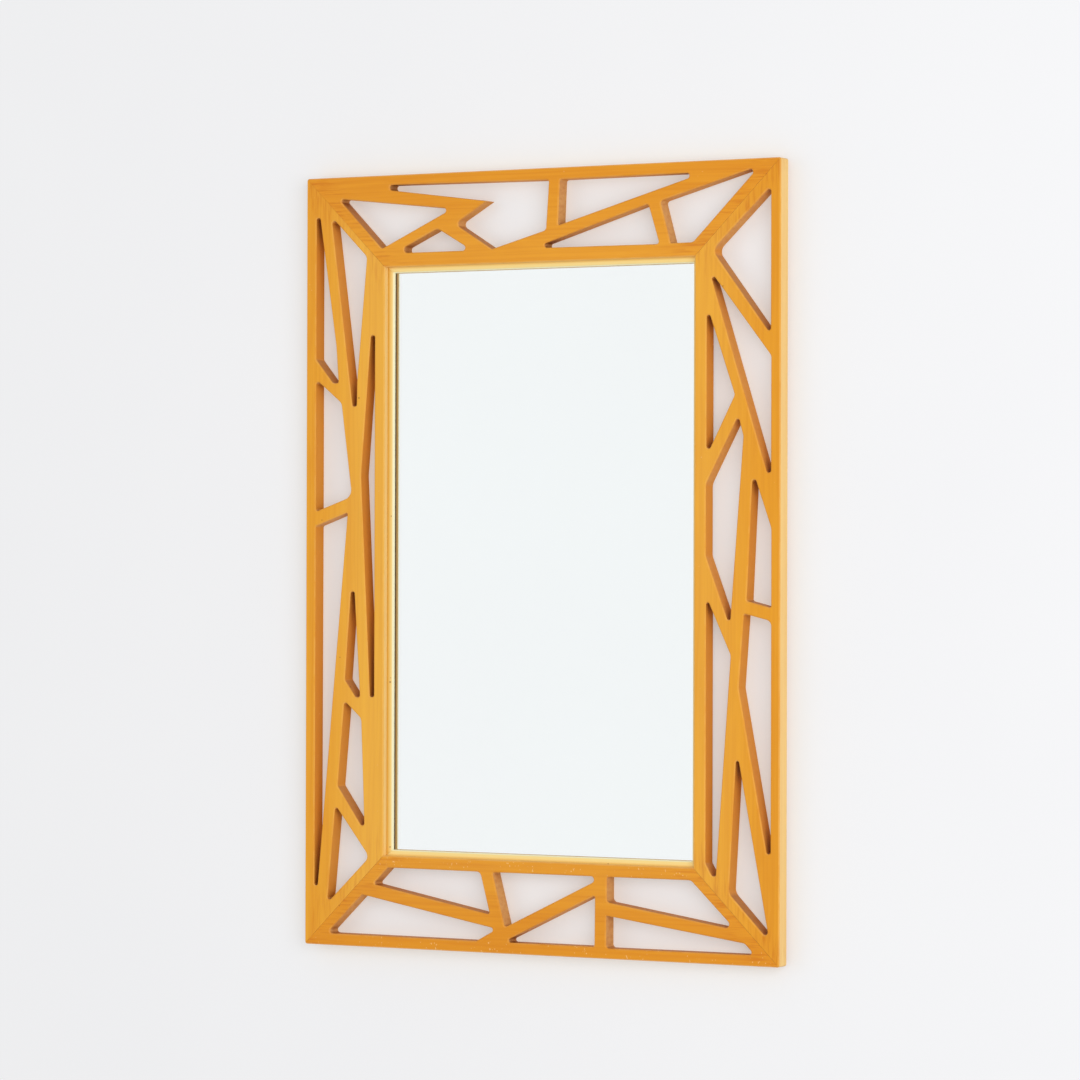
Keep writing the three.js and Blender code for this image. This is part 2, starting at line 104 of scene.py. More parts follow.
# Where parts of a finish begin and end.
EDGE_ZONE = 1.5 * MM  # a surface this near an outer edge or the glass belongs to it
CHIPS_START = 20 * MM  # chips begin this far from a long edge of a board
CHIPS_FULL = 10 * MM  # and are at their most this near it
STAIN_REACH = 52 * MM  # how far from a mitre the end grain drew stain in
STAIN_FULL = 4 * MM
SHADE_START = 3 * MM  # the painted shade on the sawn walls begins this far below the face
NARROW_REACH = 12 * MM  # walls nearer to each other than this count as narrow
GROOVE = 0.2 * MM  # the slip's painted shade is full this near the boards
NOSE_START = 4.4 * MM  # and its painted nose highlight begins this far off them
NOSE_FULL = 5.7 * MM
BACK_DEEP = 2.9 * MM  # painted shade darkens its back up to this far off them
BACK_PALE = 4.6 * MM
SCREEN_PITCH = 1.6 * MM  # of the hardboard's rough side

# How far the arrises are eased, and what counts as one point, one flat or on a mitre.
BOARD_EASE = 0.35 * MM
SLIP_EASE = 0.25 * MM
BACKING_EASE = 0.3 * MM
STRAP_EASE = 0.12 * MM
ON_MITRE = 0.4 * MM  # a point this near a mitre line is on it
DOUBLE = 1e-6  # points nearer than this are one
FLAT = math.radians(0.6)  # faces that meet at less than this are one flat

# Fixings, which the model has as plain shanks and square wire.
PIN_SHANK = 0.7 * MM  # radius
PIN_POINT = 1.6 * MM
PIN_TWIST = 6.0  # how far, in radians, each one may be turned about its own axis
SCREW_HEAD_DEEP = 1.6 * MM
SCREW_SHANK = 1.1 * MM  # radius
THREAD_ROOT = 1.0 * MM
THREAD_CREST = 1.42 * MM
THREAD_PITCH = 1.1 * MM
DOME_STEPS = 6
SCREW_TWIST = 1.3
RECESS_DEEP = 1.15 * MM
RECESS_WIDE = 0.55 * MM
RING_WIRE = 0.8 * MM  # radius
RING_CORNER = 1.2 * MM

# The room.
WALL_HALF = 6.0
WALL_BEHIND = 0.6 * MM  # from the mirror's back
WALL_GLOW = 0.33  # the share of the wall's brightness that is its own
AMBIENT = 0.7
SENT_ON = 0.65  # how much of the room's soft light the mirror sends on

# The camera, set from the frame's corners in the photograph.
FOCAL_MM = 148.03
SENSOR_MM = 36.0
CAMERA_YAW = 0.50347791
CAMERA_PITCH = -0.00598257564
CAMERA_ROLL = 0.00267634712
CAMERA_TO_FACE = (-4.2077 * MM, 21.9594 * MM, 4514.1808 * MM)  # right, down and forward


def linear(colour):
    """A screen colour as the scene's linear light."""
    def channel(value):
        value /= 255.0
        return value / 12.92 if value <= 0.04045 else ((value + 0.055) / 1.055) ** 2.4
    return tuple(channel(v) for v in colour) + (1.0,)


# ------------------------------------------------------------------ materials


class Tree:
    """Adds and links nodes in one shader or geometry tree."""

    def __init__(self, tree):
        self.tree = tree

    def add(self, kind, inputs=None, **settings):
        node = self.tree.nodes.new(kind)
        for name, value in settings.items():
            setattr(node, name, value)
        self.put(node, inputs or {})
        return node

    def put(self, node, inputs):
        """Links each input to a socket, or sets it to a plain value."""
        for key, value in inputs.items():
            if isinstance(value, bpy.types.NodeSocket):
                self.tree.links.new(value, node.inputs[key])
            else:
                node.inputs[key].default_value = value

    def math(self, operation, *values, clamp=False):
        return self.add(
            "ShaderNodeMath", dict(enumerate(values)), operation=operation, use_clamp=clamp,
        ).outputs[0]

    def mix(self, factor, first, second):
        """Two colours mixed."""
        return self.add(
            "ShaderNodeMix", {0: factor, 6: first, 7: second}, data_type="RGBA").outputs[2]

    def ramp(self, value, low, high, smooth=True):
        """0 where the value is low and 1 where it is high. Low may be the larger one."""
        return self.add(
            "ShaderNodeMapRange", {0: value, 1: low, 2: high},
            interpolation_type="SMOOTHSTEP" if smooth else "LINEAR",
        ).outputs[0]

    def scaled(self, vector, scale, location=(0, 0, 0), rotation=(0, 0, 0)):
        return self.add("ShaderNodeMapping", {
            "Vector": vector, "Scale": scale, "Location": location, "Rotation": rotation,
        }).outputs[0]

    def noise(self, vector, scale, detail=2.0, roughness=0.5, distortion=0.0):
        """Noise from 0 to 1. Its scale, times that of the vector, is in waves to the metre."""
        return self.add("ShaderNodeTexNoise", {
            "Vector": vector, "Scale": scale, "Detail": detail,
            "Roughness": roughness, "Distortion": distortion,
        }).outputs["Fac"]

    def bump(self, height, strength, distance):
        return self.add("ShaderNodeBump", {
            "Height": height, "Strength": strength, "Distance": distance,
        }).outputs[0]

    def seen(self, ray):
        """1 for the rays that show a thing as it is: from the camera, a mirror or glass."""
        onward = self.math("MAXIMUM", ray["Is Glossy Ray"], ray["Is Transmission Ray"])
        return self.math("MAXIMUM", ray["Is Camera Ray"], onward)

    def instead_for_soft_light(self, surface, other, output):
        """Shows the other shader to the soft light that spreads from matt surfaces."""
        soft = self.add("ShaderNodeLightPath").outputs["Is Diffuse Ray"]
        both = self.add("ShaderNodeMixShader", {
            0: soft, 1: surface.outputs[0], 2: other.outputs[0],
        })
        self.put(output, {"Surface": both.outputs[0]})


def shader_group(name, inputs, outputs):
    """An empty shader group with the given inputs (name, kind, default) and outputs (name, kind),
    its node helper, its input node's outputs and its output node."""
    group = bpy.data.node_groups.new(name, "ShaderNodeTree")
    for label, kind, default in inputs:
        socket = group.interface.new_socket(label, in_out="INPUT", socket_type=kind)
        if default is not None:
            socket.default_value = default
    for label, kind in outputs:
        group.interface.new_socket(label, in_out="OUTPUT", socket_type=kind)
    tree = Tree(group)
    return group, tree, tree.add("NodeGroupInput").outputs, tree.add("NodeGroupOutput")


FLOAT = "NodeSocketFloat"
VECTOR = "NodeSocketVector"


def make_grain_group():
    """Long, straight pine grain. The vector's Z runs along the board, in metres."""
    group, t, given, out = shader_group(
        "straight_grain",
        [("Vector", VECTOR, None), ("Ring Spacing", FLOAT, 0.0045), ("Waver", FLOAT, 0.004)],
        [("Rings", FLOAT), ("Fibres", FLOAT), ("Figure", FLOAT), ("Height", FLOAT)],
    )
    position = given["Vector"]
    # The rings lean with depth, and waver along the board.
    drift = t.noise(t.scaled(position, (6, 6, 1.6)), 1.0, 3.0, 0.55)
    waver = t.math("MULTIPLY", given["Waver"], 8.0)
    slow = t.math("MULTIPLY", t.math("SUBTRACT", drift, 0.5), waver)
    parts = t.add("ShaderNodeSeparateXYZ", {0: position}).outputs
    depth = t.math("MULTIPLY", parts["Y"], 0.45)
    across = t.math("ADD", t.math("ADD", parts["X"], depth), slow)
    uneven = t.noise(t.scaled(position, (34, 34, 1.5)), 1.0, 2.0, 0.5)
    across = t.math("ADD", across, t.math("MULTIPLY", t.math("SUBTRACT", uneven, 0.5), 0.03))
    phase = t.math("FRACT", t.math("DIVIDE", across, given["Ring Spacing"]))
    # Each ring darkens slowly and ends in a late edge. Some rings are much fainter than others.
    rise = t.math("POWER", phase, 2.5)
    fall = t.ramp(phase, 1.0, 0.82)
    strength = t.ramp(t.noise(t.scaled(position, (90, 90, 4)), 1.0, 2.0, 0.6), 0.35, 0.7)
    streaks = t.ramp(t.noise(t.scaled(position, (330, 150, 2.4)), 1.0, 3.0, 0.6), 0.38, 0.72)
    rings = t.math("MULTIPLY", t.math("MULTIPLY", rise, fall), strength)
    rings = t.math("ADD", t.math("MULTIPLY", rings, 0.6), t.math("MULTIPLY", streaks, 0.4))
    fibres = t.noise(t.scaled(position, (1400, 1400, 14)), 1.0, 2.0, 0.6)
    figure = t.noise(t.scaled(position, (38, 38, 7)), 1.0, 3.0, 0.6, 0.6)
    height = t.math("SUBTRACT", t.math("MULTIPLY", fibres, 0.6), t.math("MULTIPLY", rings, 0.5))
    t.put(out, {"Rings": rings, "Fibres": fibres, "Figure": figure, "Height": height})
    return group


def make_wear_group():
    """Small knocks and pale chips in a finish."""
    group, t, given, out = shader_group(
        "knocks",
        [("Vector", VECTOR, None), ("Amount", FLOAT, 0.5), ("Dots", FLOAT, 0.05)],
        [("Chips", FLOAT), ("Specks", FLOAT)],
    )
    # Chips come in loose clusters of small upright flecks.
    flecks = t.noise(t.scaled(given["Vector"], (620, 620, 330)), 1.0, 1.0, 0.5)
    cluster = t.noise(given["Vector"], 46.0, 2.0, 0.6)
    level = t.math("SUBTRACT", 0.84, t.math("MULTIPLY", given["Amount"], 0.1))
    strong = t.math("ADD", flecks, t.math("MULTIPLY", t.math("SUBTRACT", cluster, 0.5), 0.5))
    chips = t.ramp(t.math("SUBTRACT", strong, level), 0.0, 0.03)
    # Specks are round, and only some cells have one.
    dots = t.add("ShaderNodeTexVoronoi", {
        "Vector": given["Vector"], "Scale": 90.0, "Randomness": 1.0,
    })
    dot_cell = t.add("ShaderNodeSeparateColor", {0: dots.outputs["Color"]}).outputs
    near = t.ramp(dots.outputs["Distance"], 0.1, 0.06)
    few = t.math("LESS_THAN", dot_cell[0], given["Dots"])
    t.put(out, {"Chips": chips, "Specks": t.math("MULTIPLY", near, few)})
    return group


GRAIN = make_grain_group()
KNOCKS = make_wear_group()


def new_material(name):
    """A material with a Principled surface, its node helper, that surface and its output."""
    material = bpy.data.materials.new(name)
    material.use_nodes = True
    material.node_tree.nodes.clear()
    t = Tree(material.node_tree)
    surface = t.add("ShaderNodeBsdfPrincipled")
    output = t.add("ShaderNodeOutputMaterial", {"Surface": surface.outputs[0]})
    return material, t, surface, output


def grain_turn(along_x):
    """The rotation for grain that runs along X instead of Z."""
    return (0, math.radians(90), 0) if along_x else (0, 0, 0)


def sawn_walls(t, place, parts, normal, along_x):
    """The colour of the openings' walls. End grain is mottled, where its open pores took the
    stain unevenly. Painted shade darkens the walls that face upwards, the parts near the room's
    wall and the narrow places."""
    ends = t.math("ABSOLUTE", normal["X" if along_x else "Z"])
    pores = t.ramp(t.noise(t.scaled(place["Object"], (260, 130, 260)), 1.0, 3.0, 0.65), 0.35, 0.7)
    end_grain = t.mix(t.math("MULTIPLY", pores, 0.5), linear(SAWN_END), linear(END_PORES))
    sawn = t.mix(ends, linear(SAWN_WALL), end_grain)
    # Painted shade on the walls that face upwards.
    upwards = t.ramp(normal["Z"], 0.3, 0.75)
    sawn = t.mix(t.math("MULTIPLY", upwards, 0.55), sawn, linear(SAWN_UPWARD_SHADE))
    # Painted shade, darker towards the wall of the room.
    deep = t.ramp(parts["Y"], BOARD_LOW.y + SHADE_START, BOARD_HIGH.y)
    sawn = t.mix(t.math("MULTIPLY", deep, 0.15), sawn, linear(SAWN_PAINTED_SHADE))
    # Painted shade in the narrow places, from how closed in each point is.
    openness = t.add(
        "ShaderNodeAmbientOcclusion", {"Distance": NARROW_REACH}, only_local=True, samples=8)
    narrow = t.ramp(openness.outputs["AO"], 0.7, 0.15)
    return t.mix(t.math("MULTIPLY", narrow, 0.75), sawn, linear(NARROW_PAINTED_SHADE))


def lacquered_pine(name, along_x, offset, light, dark, chips, faded):
    """Amber lacquer over pine whose grain runs along X on a rail and along Z on a stile. The
    offset picks the grain, light and dark are its tones, chips says how chipped the board is and
    faded how much its face pales beside the glass."""
    material, t, surface, _ = new_material(name)
    half_width = BOARD_WIDTH / 2
    middle = (SIGHT_Z if along_x else SIGHT_X) + half_width
    place = t.add("ShaderNodeTexCoord").outputs
    board_vector = t.scaled(place["Object"], (1, 1, 1), offset, grain_turn(along_x))
    grain = t.add("ShaderNodeGroup", node_tree=GRAIN, inputs={
        "Vector": board_vector, "Ring Spacing": 5.2 * MM, "Waver": 3.5 * MM,
    }).outputs
    knocks = t.add("ShaderNodeGroup", node_tree=KNOCKS, inputs={
        "Vector": place["Object"], "Amount": chips,
    }).outputs

    parts = t.add("ShaderNodeSeparateXYZ", {0: place["Object"]}).outputs
    # Chips keep to the long edges of a board.
    beside = t.math("SUBTRACT", t.math("ABSOLUTE", parts["Z" if along_x else "X"]), middle)
    by_edge = t.ramp(
        t.math("ABSOLUTE", beside), half_width - CHIPS_START, half_width - CHIPS_FULL)
    chipped = t.math("MULTIPLY", knocks["Chips"], by_edge)
    # The end grain at the mitres drew more stain in, in short strokes.
    off_mitre = t.math("SUBTRACT", t.math("ABSOLUTE", parts["Z"]), t.math("ABSOLUTE", parts["X"]))
    from_mitre = t.math("ABSOLUTE", t.math("SUBTRACT", off_mitre, MITRE_OFFSET))
    short = t.noise(t.scaled(board_vector, (420, 420, 34)), 1.0, 2.0, 0.6)
    near_mitre = t.ramp(from_mitre, STAIN_REACH, STAIN_FULL)
    soaked = t.math("MULTIPLY", near_mitre, t.ramp(short, 0.46, 0.66))

    rings = t.math("MULTIPLY", grain["Rings"], 0.5)
    fibres = t.math("MULTIPLY", t.math("SUBTRACT", grain["Fibres"], 0.5), 0.35)
    figure = t.math("MULTIPLY", t.math("SUBTRACT", grain["Figure"], 0.5), 0.7)
    tone = t.math("ADD", t.math("ADD", rings, fibres), t.math("ADD", figure, 0.2), clamp=True)
    tone = t.math("ADD", tone, t.math("MULTIPLY", soaked, 0.45), clamp=True)
    face = t.mix(tone, linear(light), linear(dark))
    # The face is paler beside the glass and deeper at the outer edge.
    outwards = t.ramp(beside, -BOARD_WIDTH * 0.4, BOARD_WIDTH * 0.45)
    inner_part = t.math("MULTIPLY", t.math("SUBTRACT", 1.0, outwards), faded)
    face = t.mix(inner_part, face, linear(INNER_PINE))
    face = t.mix(t.math("MULTIPLY", outwards, 0.2), face, linear(OUTER_PINE))

    # The sawn walls are browner than the face. The frame's outer sides and the edge round the
    # glass are paler, as painted light.
    normal = t.add("ShaderNodeSeparateXYZ", {0: place["Normal"]}).outputs
    cut_side = t.ramp(t.math("ABSOLUTE", normal["Y"]), 0.85, 0.2)
    far_x = t.math("GREATER_THAN", t.math("ABSOLUTE", parts["X"]), BOARD_HIGH_X - EDGE_ZONE)
    far_z = t.math("GREATER_THAN", t.math("ABSOLUTE", parts["Z"]), BOARD_HIGH.z - EDGE_ZONE)
    sight_x = t.math("LESS_THAN", t.math("ABSOLUTE", parts["X"]), SIGHT_X + EDGE_ZONE)
    sight_z = t.math("LESS_THAN", t.math("ABSOLUTE", parts["Z"]), SIGHT_Z + EDGE_ZONE)
    sight = t.math("MULTIPLY", sight_x, sight_z)
    sawn = sawn_walls(t, place, parts, normal, along_x)
    # Painted light: the outer sides and the edge round the glass are made paler.
    side_light = t.mix(t.math("MAXIMUM", far_x, far_z), sawn, linear(LIT_SIDE))
    side_light = t.mix(sight, side_light, linear(LIT_LIP))
    side = t.mix(t.math("MULTIPLY", tone, 0.35), side_light, linear(dark))
    colour = t.mix(cut_side, face, side)
    back = t.mix(t.math("MULTIPLY", tone, 0.6), linear(PLAIN_BACK), linear(PLAIN_BACK_GRAIN))
    colour = t.mix(t.math("GREATER_THAN", normal["Y"], 0.7), colour, back)
    # The finish is rubbed thin along the arrises, which also get a painted highlight.
    rounded = t.math("ABSOLUTE", normal["Y"])
    arris = t.math("MULTIPLY", t.ramp(rounded, 0.97, 0.8), t.ramp(rounded, 0.15, 0.4))
    rubbed = t.ramp(t.noise(t.scaled(place["Object"], (60, 60, 60)), 1.0, 3.0, 0.6), 0.35, 0.6)
    wear_and_highlight = t.math("MULTIPLY", arris, t.math("ADD", t.math("MULTIPLY", rubbed, 0.16), 0.05))
    colour = t.mix(wear_and_highlight, colour, linear(WORN_LIT_ARRIS))
    colour = t.mix(t.math("MULTIPLY", chipped, 0.7), colour, linear(PALE_CHIP))
    colour = t.mix(t.math("MULTIPLY", knocks["Specks"], 0.7), colour, linear(PINE_SPECK))

    gloss = t.math("ADD", 0.42, t.math("MULTIPLY", grain["Fibres"], 0.12))
    gloss = t.math("ADD", gloss, t.math("MULTIPLY", chipped, 0.3))
    bare = t.math("MAXIMUM", cut_side, chipped)
    lacquer = t.math("MULTIPLY", t.math("SUBTRACT", 1.0, bare), 0.3)
    dents = t.math("SUBTRACT", grain["Height"], t.math("MULTIPLY", chipped, 1.2))
    t.put(surface, {
        "Base Color": colour, "Roughness": gloss, "Specular IOR Level": 0.06,
        "Coat Weight": lacquer, "Coat Roughness": 0.16,
        "Normal": t.bump(dents, 0.25, 0.12 * MM),
    })
    return material


def gilt_slip(name, along_x, reach, strength):
    """Pale gold lacquer on a narrow wooden slip, with fine draw marks along it. Beside the boards
    it has painted shade with the given strength, which fades out over the given reach."""
    material, t, surface, _ = new_material(name)
    place = t.add("ShaderNodeTexCoord").outputs
    along = t.scaled(place["Object"], (1, 1, 1), (0.3, 0.1, 0.2), grain_turn(along_x))
    grain = t.add("ShaderNodeGroup", node_tree=GRAIN, inputs={
        "Vector": along, "Ring Spacing": 3.1 * MM, "Waver": 1.0 * MM,
    }).outputs
    knocks = t.add("ShaderNodeGroup", node_tree=KNOCKS, inputs={
        "Vector": place["Object"], "Amount": 0.0, "Dots": 0.3,
    }).outputs
    cloud = t.noise(along, 30.0, 3.0, 0.6)
    tone = t.math("ADD", t.math("MULTIPLY", cloud, 0.4), t.math("MULTIPLY", grain["Rings"], 0.3))
    colour = t.mix(tone, linear(GILT), linear(GILT_CLOUD))
    # How far the surface is from the boards: painted shade beside them, a painted highlight at the
    # nose.
    parts = t.add("ShaderNodeSeparateXYZ", {0: place["Object"]}).outputs
    sight, across = (SIGHT_Z, parts["Z"]) if along_x else (SIGHT_X, parts["X"])
    inwards = t.math("SUBTRACT", sight, t.math("ABSOLUTE", across))
    # Painted shade beside the boards.
    shaded = t.ramp(inwards, reach, GROOVE, smooth=False)
    colour = t.mix(t.math("MULTIPLY", shaded, strength), colour, linear(GILT_PAINTED_SHADE))
    # Painted highlight on the nose.
    nose = t.ramp(inwards, NOSE_START, NOSE_FULL)
    colour = t.mix(nose, colour, linear(GILT_NOSE_HIGHLIGHT))
    normal = t.add("ShaderNodeSeparateXYZ", {0: place["Normal"]}).outputs
    # Painted shade on the back, darker away from the nose.
    back_shade = t.ramp(inwards, BACK_PALE, BACK_DEEP)
    back = t.mix(back_shade, linear(GILT_BACK), linear(GILT_BACK_SHADE))
    colour = t.mix(t.math("GREATER_THAN", normal["Y"], 0.5), colour, back)
    colour = t.mix(t.math("MULTIPLY", knocks["Specks"], 0.8), colour, linear(GILT_SPECK))
    gloss = t.math("ADD", 0.3, t.math("MULTIPLY", cloud, 0.12))
    t.put(surface, {
        "Base Color": colour, "Roughness": gloss, "Specular IOR Level": 0.25,
        "Normal": t.bump(grain["Height"], 0.2, 0.05 * MM),
    })
    return material


def bare_ply(name):
    """The unfinished plywood of the loose tongues, with its face grain across the mitre."""
    material, t, surface, _ = new_material(name)
    place = t.add("ShaderNodeTexCoord").outputs
    grain = t.add("ShaderNodeGroup", node_tree=GRAIN, inputs={
        "Vector": t.scaled(place["Object"], (1, 1, 1), (0, 0, 0), (0, math.radians(45), 0)),
        "Ring Spacing": 2 * MM, "Waver": 2 * MM,
    }).outputs
    colour = t.mix(grain["Fibres"], linear(PLY), linear(PLY_FIBRES))
    t.put(surface, {
        "Base Color": colour, "Roughness": 0.75,
        "Normal": t.bump(grain["Height"], 0.3, 0.1 * MM),
    })
    return material


def hardboard(name):
    """Brown pressed board with the screen pattern of its rough side."""
    material, t, surface, _ = new_material(name)
    place = t.add("ShaderNodeTexCoord").outputs
    parts = t.add("ShaderNodeSeparateXYZ", {0: place["Object"]}).outputs
    turns = 2 * math.pi / SCREEN_PITCH
    weft = t.math("SINE", t.math("MULTIPLY", parts["X"], turns))
    warp = t.math("SINE", t.math("MULTIPLY", parts["Z"], turns))
    screen = t.math("MULTIPLY", t.math("ADD", weft, 1.0), t.math("ADD", warp, 1.0))
    pulp = t.noise(place["Object"], 420.0, 4.0, 0.7)
    patch = t.noise(place["Object"], 9.0, 3.0, 0.6)
    shreds = t.ramp(t.noise(t.scaled(place["Object"], (900, 900, 260)), 1.0, 2.0, 0.6), 0.5, 0.68)
    patches = t.math("MULTIPLY", t.ramp(patch, 0.2, 0.8), 0.2)
    tone = t.math("ADD", t.math("MULTIPLY", pulp, 0.5), patches)
    tone = t.math("SUBTRACT", tone, t.math("MULTIPLY", screen, 0.04))
    tone = t.math("ADD", tone, t.math("MULTIPLY", shreds, 0.3), clamp=True)
    colour = t.mix(tone, linear(BOARD_DARK), linear(BOARD_LIGHT))
    height = t.math("ADD", t.math("MULTIPLY", screen, -0.2), t.math("MULTIPLY", pulp, 0.6))
    t.put(surface, {
        "Base Color": colour, "Roughness": 0.82, "Normal": t.bump(height, 0.5, 0.3 * MM),
    })
    return material


def zinc(name):
    """Bright zinc plate with a faint crystalline mottle and handling marks."""
    material, t, surface, _ = new_material(name)
    place = t.add("ShaderNodeTexCoord").outputs
    mottle = t.noise(place["Object"], 700.0, 3.0, 0.6)
    scuffs = t.noise(t.scaled(place["Object"], (2600, 2600, 160)), 1.0, 2.0, 0.6)
    colour = t.mix(mottle, linear(ZINC_DARK), linear(ZINC_LIGHT))
    gloss = t.math("ADD", 0.26, t.math("MULTIPLY", scuffs, 0.2))
    t.put(surface, {
        "Base Color": colour, "Metallic": 1.0, "Roughness": gloss,
        "Normal": t.bump(scuffs, 0.15, 0.05 * MM),
    })
    return material


def clear_plate(name):
    """The glass in front of the silvering, slightly uneven. Soft light passes straight through."""
    material, t, surface, output = new_material(name)
    place = t.add("ShaderNodeTexCoord").outputs
    haze = t.noise(place["Object"], 5.0, 2.0, 0.5)
    colour = t.mix(haze, linear(CLEAR_GLASS), linear(GLASS_HAZE))
    t.put(surface, {
        "Base Color": colour, "Roughness": 0.0, "Transmission Weight": 1.0, "IOR": 1.52,
    })
    t.instead_for_soft_light(surface, t.add("ShaderNodeBsdfTransparent"), output)
    return material


def silvering(name):
    """The mirror coat. To soft light it is a lamp instead, as bright as the room's light that a
    real mirror sends on to its frame."""
    material, t, surface, output = new_material(name)
    place = t.add("ShaderNodeTexCoord").outputs
    cloud = t.noise(place["Object"], 3.0, 2.0, 0.5)
    colour = t.mix(cloud, linear(SILVER), linear(SILVER_CLOUD))
    t.put(surface, {"Base Color": colour, "Metallic": 1.0, "Roughness": 0.0})
    onward = t.add("ShaderNodeEmission", {0: colour, 1: SENT_ON})
    t.instead_for_soft_light(surface, onward, output)
    return material


# ------------------------------------------------------------------ pieces from the model


def loose_object(name, data):
    piece = bpy.data.objects.new(name, data)
    bpy.context.scene.collection.objects.link(piece)
    return piece


def merged_copy(node, name):
    """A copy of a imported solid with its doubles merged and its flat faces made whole."""
    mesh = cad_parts[node].data.copy()
    mesh.name = name
    mesh.materials.clear()
    work = bmesh.new()
    work.from_mesh(mesh)
    bmesh.ops.remove_doubles(work, verts=work.verts, dist=DOUBLE)
    bmesh.ops.dissolve_limit(work, angle_limit=FLAT, verts=work.verts, edges=work.edges)
    work.to_mesh(mesh)
    work.free()
    return loose_object(name, mesh)


def on_mitre(point):
    return abs(abs(point.z) - abs(point.x) - MITRE_OFFSET) < ON_MITRE


def smooth(piece, sharp_angle=None):
    """Shades a piece smoothly, but for the edges that turn more than an angle in degrees."""
    for polygon in piece.data.polygons:
        polygon.use_smooth = True
    if sharp_angle is not None:
        piece.data.set_sharp_from_angle(angle=math.radians(sharp_angle))


def ease(piece, width, segments=2, angle=20):
    """Rounds the edges that turn more than an angle in degrees, and shades the curves smoothly
    while flats stay flat. Edges that close on a mitre stay sharp, so that the joint stays shut."""
    work = bmesh.new()
    work.from_mesh(piece.data)
    weights = work.edges.layers.float.new("bevel_weight_edge")
    for edge in work.edges:
        sharp = len(edge.link_faces) == 2 and edge.calc_face_angle() > math.radians(angle)
        closed = all(on_mitre(v.co) for v in edge.verts)
        edge[weights] = 1.0 if sharp and not closed else 0.0
        if sharp and closed:
            edge.smooth = False
    work.to_mesh(piece.data)
    work.free()
    bevel = piece.modifiers.new("eased", "BEVEL")
    bevel.width = width
    bevel.segments = segments
    bevel.limit_method = "WEIGHT"
    bevel.use_clamp_overlap = True
    smooth(piece)
    flats = piece.modifiers.new("flat_faces", "WEIGHTED_NORMAL")
    flats.mode = "FACE_AREA"
    flats.weight = 100
    flats.keep_sharp = True
    return piece


def dress(piece, material, node, body):
    """Gives a piece its finish and body, in place of one node of the model."""
    piece.data.materials.append(material)
    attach(piece, body)
    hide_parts(node)


# For each board: along_x, offset, light, dark, chips and faded of lacquered_pine.
BOARD_LOOKS = {
    "top_rail": (True, (0.31, 0.02, 0.9), (236, 162, 40), (206, 115, 20), 0.1, 0.06),
    "bottom_rail": (True, (0.77, 0.05, 0.2), (233, 157, 36), (204, 112, 18), 1.03, 0.08),
    "left_stile": (False, (0.13, 0.07, 0.4), (240, 174, 50), (214, 129, 28), 0.1, 0.28),
    "right_stile": (False, (0.52, 0.03, 0.7), (237, 167, 42), (208, 121, 24), 0.15, 0.2),
}
for board, look in BOARD_LOOKS.items():
    piece = ease(merged_copy(board, "finished_" + board), BOARD_EASE)
    dress(piece, lacquered_pine("pine_" + board, *look), board, ROOT)

gilt_along = {
    True: gilt_slip("gilt_across", True, reach=2.4 * MM, strength=0.55),
    False: gilt_slip("gilt_upright", False, reach=5.6 * MM, strength=1.0),
}
for slip in SLIPS:
    piece = ease(merged_copy(slip, "finished_" + slip), SLIP_EASE, angle=30)
    dress(piece, gilt_along[slip in ("slip_top", "slip_bottom")], slip, ROOT)

ply = bare_ply("bare_ply")
for spline in SPLINES:
    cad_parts[spline].data.materials.clear()
    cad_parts[spline].data.materials.append(ply)

plate = merged_copy("mirror_glass", "mirror_plate")
plate.data.materials.append(clear_plate("clear_plate"))
plate.data.materials.append(silvering("silvering"))
for polygon in plate.data.polygons:
    if polygon.normal.y > 0.9:  # the plate's back
        polygon.material_index = 1
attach(plate, ROOT)
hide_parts("mirror_glass")

backing = ease(merged_copy("backing_board", "finished_backing"), BACKING_EASE, angle=40)
dress(backing, hardboard("hardboard"), "backing_board", ROOT)

# ------------------------------------------------------------------ hangers and pins

ZINC = zinc("zinc_plate")


def turned_mesh(name, outline, sides):
    """A turned shape round the Y axis from (radius, y) points; both end radii are zero."""
    work = bmesh.new()
    rings = []
    for radius, y in outline:
        if radius == 0:
            rings.append([work.verts.new((0, y, 0))])
            continue
        turns = [2 * math.pi * i / sides for i in range(sides)]
        ring = [(radius * math.cos(a), y, radius * math.sin(a)) for a in turns]
        rings.append([work.verts.new(point) for point in ring])
    for lower, upper in zip(rings, rings[1:]):
        for i in range(sides):
            k = (i + 1) % sides
            corners = [lower[i % len(lower)], upper[i % len(upper)],
                       upper[k % len(upper)], lower[k % len(lower)]]
            work.faces.new(list(dict.fromkeys(corners)))
    bmesh.ops.recalc_face_normals(work, faces=work.faces)
    mesh = bpy.data.meshes.new(name)
    work.to_mesh(mesh)
    work.free()
    return mesh


def plain_mesh(piece, name):
    """The piece with its modifiers made part of the mesh, as a new piece."""
    depsgraph = bpy.context.evaluated_depsgraph_get()
    mesh = bpy.data.meshes.new_from_object(piece.evaluated_get(depsgraph), depsgraph=depsgraph)
    mesh.name = name
    bpy.data.objects.remove(piece)
    return loose_object(name, mesh)


